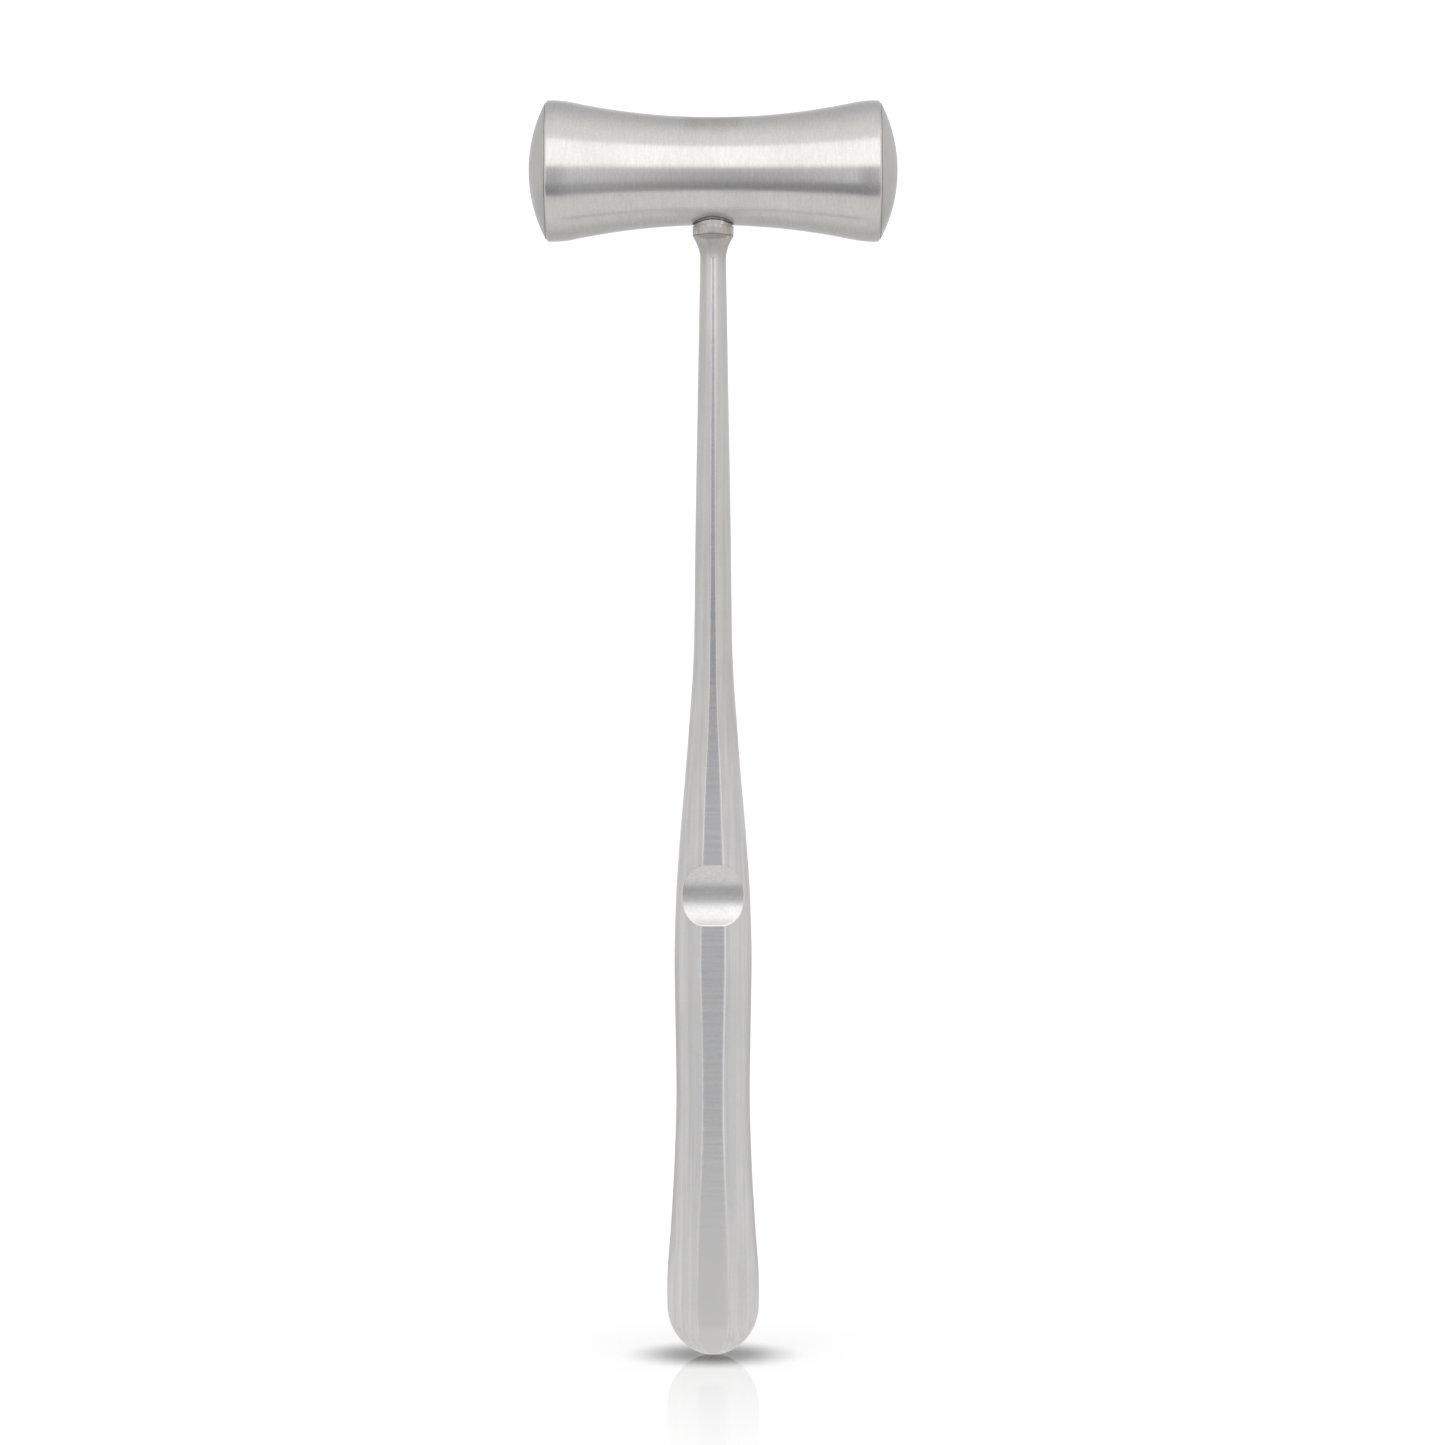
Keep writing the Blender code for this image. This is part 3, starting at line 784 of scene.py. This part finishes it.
def unground_neck(nodes, place, value, colour, rough):
    """The shaft is darker and warmer than the grip, and the top of the flare was left as dark as
    the collar. The edge of that dark band dips at the front and back."""
    parts = nodes.add("ShaderNodeSeparateXYZ", {0: place})
    # Darker and warmer up the shaft
    shaft = nodes.band(parts[2], *SHAFT_DARKER)
    value = nodes.product(value, nodes.band(shaft, 0, 1, 1.0, 0.90, smooth=False))
    colour = nodes.mix(shaft, colour, grey(0.59, 0.028))
    sideways = nodes.math("DIVIDE", parts[0], COLLAR_R)
    rise = nodes.product(sideways, sideways, 1.1)
    edge = nodes.math("ADD", rise, nodes.band(nodes.noise(place, 1.3, 2.0), 0.3, 0.7, *NECK_DARK))
    dark = nodes.band(nodes.math("SUBTRACT", parts[2], edge), -0.08, 0.12)
    value = nodes.product(value, nodes.band(dark, 0, 1, 1.0, 0.74, smooth=False))
    colour = nodes.mix(nodes.band(parts[2], *NECK_WARM), colour, grey(0.57, 0.045))
    rough = nodes.math("ADD", rough, nodes.band(parts[2], *NECK_ROUGH, 0.0, 0.24))
    return value, colour, rough


def shaft_slope(nodes, place):
    """The drawn shaft's faces look a few degrees downwards between the grip and the flare."""
    parts = nodes.add("ShaderNodeSeparateXYZ", {0: place})
    low, high = SHAFT_LEANS
    along = nodes.band(parts[2], low, high, 0.0, (high - low) * MM, smooth=False)
    return nodes.product(nodes.math("POWER", along, 1.25), SHAFT_LEAN)


def collar_slope(nodes, place):
    """The collar's face looks a little downwards."""
    parts = nodes.add("ShaderNodeSeparateXYZ", {0: place})
    return nodes.product(parts[2], COLLAR_LEAN * MM)


def lighter_upright_marks(nodes, place, value, colour, rough):
    """Lighter upright marks on the collar."""
    marks = nodes.noise(nodes.stretched(place, (1.5, 1.5, 0.35)), 1.0, 2.0, 0.5, 0.6)
    value = nodes.product(value, nodes.band(marks, 0.52, 0.66, 1.0, 1.45))
    return value, colour, rough


def flat_tones(nodes, place, value, colour, rough):
    """Towards the butt the lines across fade out. The shaft's narrow flats and the butt come out
    darker than the grip's flats."""
    parts = nodes.add("ShaderNodeSeparateXYZ", {0: place})
    value = nodes.blend(nodes.band(parts[2], *BUTT_LINES, 0.9, 0.0), value, 1.0)
    above = nodes.band(parts[2], *SHAFT_FLATS_DARKER, 1.0, 0.68)
    butt = nodes.band(parts[2], *BUTT_DARKER, 0.85, 1.0)
    return nodes.product(value, nodes.product(above, butt)), colour, rough


def head_finishes():
    head = brushed_steel("turned_head", (3.3, 0.45, 0.45), grey(0.549, 0.026), 0.25, "X", 0.25,
                         anisotropic=0.68, contrast=0.047, streaks=(1.1, 0.05, 0.05),
                         streak_contrast=0.008, mottle=0.025, accents=[rim_scuffs, nut_surround],
                         hues=0.003, speckles=0.03)
    face = brushed_steel("turned_face", (0.3, 5.0, 5.0), grey(0.48, 0.03), 0.40, "X", 0.25,
                         anisotropic=0.3, contrast=0.04, mottle=0.02)
    nut = brushed_steel("ground_nut", (2.2, 2.2, 0.3), grey(0.44, 0.045), 0.32, "X", 0.25,
                        anisotropic=0.6, contrast=0.07, mottle=0.04)
    collar = brushed_steel("turned_collar", (1.6, 1.6, 0.5), grey(0.43, 0.045), 0.34, "Z", 0.0,
                           anisotropic=0.3, contrast=0.12, mottle=0.05, accents=[lighter_upright_marks],
                           slope=collar_slope)
    return head, face, nut, collar


def handle_finishes():
    """In the order of ON_FLANK, ON_FLAT and ON_SCOOP."""
    # The flank and the flat get a painted highlight along their rounded corners
    flank = brushed_steel("drawn_flank", (2.6, 2.6, 0.04), grey(0.605, 0.008), 0.32, "Z", 0.0,
                          anisotropic=0.55, contrast=0.045, streaks=(1.2, 1.2, 0.012),
                          streak_contrast=0.055, mottle=0.02, painted_edge_highlight=0.44, accents=[unground_neck],
                          slope=shaft_slope)
    flat = brushed_steel("ground_flat", (0.1, 0.1, 2.2), grey(0.665, 0.009), 0.25, "Z", 0.25,
                         anisotropic=0.6, contrast=0.06, mottle=0.03, painted_edge_highlight=0.12, bump=0.0,
                         accents=[flat_tones], slope=shaft_slope, speckles=0.025)
    scoop = brushed_steel("ground_scoop", (0.5, 0.5, 3.0), grey(0.602, 0.012), 0.25, "Z", 0.25,
                          anisotropic=0.6, contrast=0.04, mottle=0.02, bump=0.06, speckles=0.04)
    return flank, flat, scoop


def cast_lead():
    made, nodes, shader, place = new_material("cast_lead")
    grain = nodes.noise(place, 1.6, 4.0, 0.65)
    colour = nodes.mix(nodes.band(grain, 0.35, 0.65), grey(0.16, -0.03), grey(0.27, -0.02))
    normal = nodes.add("ShaderNodeBump", {"Height": grain, "Strength": 0.5, "Distance": 1e-4})[0]
    links = made.node_tree.links
    links.new(colour, shader.inputs["Base Color"])
    links.new(nodes.band(grain, 0.3, 0.7, 0.5, 0.68), shader.inputs["Roughness"])
    links.new(normal, shader.inputs["Normal"])
    shader.inputs["Metallic"].default_value = 0.9
    return made


def sealing_ring():
    made, nodes, shader, place = new_material("sealing_ring")
    grain = nodes.noise(place, 3.0, 3.0, 0.6)
    colour = nodes.mix(nodes.band(grain, 0.3, 0.7), grey(0.74, 0.02), grey(0.8, 0.012))
    links = made.node_tree.links
    links.new(colour, shader.inputs["Base Color"])
    links.new(nodes.band(grain, 0.3, 0.7, 0.42, 0.56), shader.inputs["Roughness"])
    return made


def make_pieces():
    head, face, nut, collar = head_finishes()
    make_head_body(head)
    for side, label in ENDS:
        make_face_cap(side, label, face)
        make_lock_pin(side, label, face)
    make_crown_nut(nut)
    make_neck_collar(collar)
    make_handle(handle_finishes())
    for names, look in ((("ballast_slug_left", "ballast_slug_right"), cast_lead()),
                        (("cap_gasket_left", "cap_gasket_right"), sealing_ring())):
        for name in names:
            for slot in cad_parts[name].material_slots:
                slot.material = look


# ---------------------------------------------------------------- studio


def make_camera():
    data = bpy.data.cameras.new("camera")
    data.sensor_width = SENSOR_MM
    data.lens = SENSOR_MM * -CAMERA_AT[1] / VIEW_WIDTH
    data.clip_start = 0.01
    camera = bpy.data.objects.new("camera", data)
    camera.location = CAMERA_AT
    camera.rotation_euler = (math.pi / 2, 0, 0)
    bpy.context.scene.collection.objects.link(camera)
    bpy.context.scene.camera = camera


def stage_plane(name, corners, look):
    """A plane with its corners in metres that belongs to the studio, not to the object."""
    points = [tuple(value / MM for value in corner) for corner in corners]
    plane = new_object(name, points, [(0, 1, 2, 3)], [look])
    return plane


def blank_material(name):
    made = bpy.data.materials.new(name)
    made.use_nodes = True
    made.node_tree.nodes.clear()
    return made, Nodes(made.node_tree)


def glowing(name):
    """An emitting material and what is needed to shade it by place, in metres."""
    made, nodes = blank_material(name)
    place = nodes.add("ShaderNodeSeparateXYZ", {0: nodes.add("ShaderNodeTexCoord")["Object"]})
    return made, nodes, place


def finish_glow(nodes, radiance, colour):
    light = nodes.add("ShaderNodeEmission", {"Color": colour, "Strength": radiance})[0]
    nodes.add("ShaderNodeOutputMaterial", {"Surface": light})


def make_front_screen():
    """The front of the light tent: a bright panel above the camera's opening, pale cloth on both
    sides of it, and darkness under the table's edge."""
    made, nodes, place = glowing("tent_front")
    opening = nodes.band(place[2], *OPENING_LIGHT, smooth=False)
    left = nodes.band(place[0], OPENING_LEFT - 0.02, OPENING_LEFT + 0.02, 1.0, 0.0)
    right = nodes.band(place[0], OPENING_RIGHT - 0.03, OPENING_RIGHT + 0.03, 0.0, 1.0)
    cloth = nodes.product(nodes.math("MAXIMUM", left, right),
                          nodes.band(place[2], *TABLE_EDGE, 0.0, 1.0))
    side = nodes.product(nodes.band(place[0], 0.04, 0.12, 0.0, 0.2),
                         nodes.band(place[2], *TABLE_EDGE, 1.0, 0.0))
    below = nodes.blend(cloth, nodes.math("ADD", opening, side), SIDE_CLOTH)
    inside = nodes.band(nodes.math("ABSOLUTE", place[0]), PANEL_HALF - 0.06, PANEL_HALF + 0.06,
                        1.0, 0.0)
    edge = nodes.band(place[2], PANEL_BOTTOM - 0.02, PANEL_BOTTOM + 0.02)
    glow = nodes.band(place[2], PANEL_BOTTOM, PANEL_BOTTOM + 0.09, 0.92 * PANEL_LIGHT, PANEL_LIGHT)
    panel = nodes.product(edge, inside)
    light = nodes.blend(panel, below, glow)
    shade = nodes.product(nodes.math("SUBTRACT", 1.0, panel),
                          nodes.math("SUBTRACT", 1.0, cloth))
    finish_glow(nodes, light, nodes.mix(shade, grey(1.0), (0.975, 0.985, 1.03, 1.0)))
    x, y, foot, top = SCREEN_HALF, SCREEN_Y, SCREEN_BOTTOM, PANEL_TOP
    corners = [(-x, y, foot), (-x, y, top), (x, y, top), (x, y, foot)]
    screen = stage_plane("tent_front", corners, made)
    for ray in ("camera", "diffuse", "shadow"):
        setattr(screen, f"visible_{ray}", False)


def make_bounce():
    """The table as the steel sees it. Its brightness falls off away from the front light."""
    made, nodes, place = glowing("table_bounce")
    fading = nodes.band(place[1], *TABLE_FADING)
    finish_glow(nodes, fading, grey(1.0, 0.006))
    x, front, back, z = TABLE_HALF, TABLE_FRONT, TABLE_BACK, -BOUNCE_DROP
    corners = [(-x, front, z), (x, front, z), (x, back, z), (-x, back, z)]
    bounce = stage_plane("table_bounce", corners, made)
    for ray in ("camera", "diffuse", "transmission", "volume_scatter", "shadow"):
        setattr(bounce, f"visible_{ray}", False)


def make_table():
    """The white table as the camera sees it, with a faint reflection and a shadow round the butt
    that is painted into its colour.
    """
    made, nodes = blank_material("white_table")
    place = nodes.add("ShaderNodeTexCoord")["Object"]
    away = nodes.add("ShaderNodeVectorMath", {0: place}, operation="LENGTH")[1]
    # Painted shadow: the table's colour darkens towards the butt
    painted_shadow = nodes.band(away, *PAINTED_SHADOW_BAND, PAINTED_SHADOW_LEVEL, 1.0)
    painted_shadow_tint = nodes.add("ShaderNodeCombineColor", {0: painted_shadow, 1: painted_shadow, 2: painted_shadow})[0]
    colour = nodes.mix(1.0, grey(FLOOR_WHITE), painted_shadow_tint, "MULTIPLY")
    white = nodes.add("ShaderNodeBsdfDiffuse", {"Color": colour})[0]
    gloss = nodes.add("ShaderNodeBsdfGlossy", {"Color": grey(1.0), "Roughness": 0.012})[0]
    polish = nodes.band(away, *POLISH_BAND, smooth=False)
    both = nodes.add("ShaderNodeMixShader", {0: polish, 1: white, 2: gloss})[0]
    nodes.add("ShaderNodeOutputMaterial", {"Surface": both})
    x = FLOOR_HALF
    corners = [(-x, -x, 0), (x, -x, 0), (x, x, 0), (-x, x, 0)]
    table = stage_plane("floor", corners, made)
    table.visible_glossy = False


def make_world():
    """The rest of the light tent: soft light above, behind and to the sides."""
    world = bpy.data.worlds.new("studio")
    world.use_nodes = True
    bpy.context.scene.world = world
    nodes = Nodes(world.node_tree)
    way = nodes.add("ShaderNodeSeparateXYZ", {0: nodes.add("ShaderNodeTexCoord")["Generated"]})
    forward = nodes.product(way[1], -1.0)
    tilt = nodes.math("DEGREES", nodes.math("ARCTAN2", way[2], forward))
    ramp = nodes.add("ShaderNodeValToRGB", {"Fac": nodes.band(tilt, -180, 180, smooth=False)})
    fill_ramp(ramp[0].node.color_ramp, STUDIO_BY_TILT)
    sideways = nodes.band(nodes.math("ABSOLUTE", way[0]), 0.5, 0.85)
    light = nodes.mix(sideways, ramp[0], grey(SIDE_LIGHT / RAMP_TOP))
    seen = nodes.add("ShaderNodeLightPath")
    strength = nodes.band(seen["Is Diffuse Ray"], 0, 1, RAMP_TOP, RAMP_TOP * FLOOR_BOOST,
                          smooth=False)
    lit = nodes.add("ShaderNodeBackground", {"Color": light, "Strength": strength})[0]
    white = nodes.add("ShaderNodeBackground", {"Color": grey(1.0), "Strength": BACKDROP_LIGHT})[0]
    mixed = nodes.add("ShaderNodeMixShader", {0: seen["Is Camera Ray"], 1: lit, 2: white})[0]
    output = world.node_tree.nodes["World Output"]
    world.node_tree.links.new(mixed, output.inputs["Surface"])
    world.cycles.sampling_method = "MANUAL"
    world.cycles.sample_map_resolution = 512


def fill_ramp(ramp, table):
    ramp.interpolation = "LINEAR"
    stops = [((tilt + 180) / 360, value / RAMP_TOP) for tilt, value in table]
    for i, (place, value) in enumerate(stops):
        stop = ramp.elements[i] if i < 2 else ramp.elements.new(place)
        stop.position = place
        stop.color = grey(value)


def main():
    make_pieces()
    make_camera()
    make_bounce()
    make_table()
    make_front_screen()
    make_world()
    scene = bpy.context.scene
    scene.view_settings.view_transform = "Standard"
    scene.render.film_transparent = False


main()
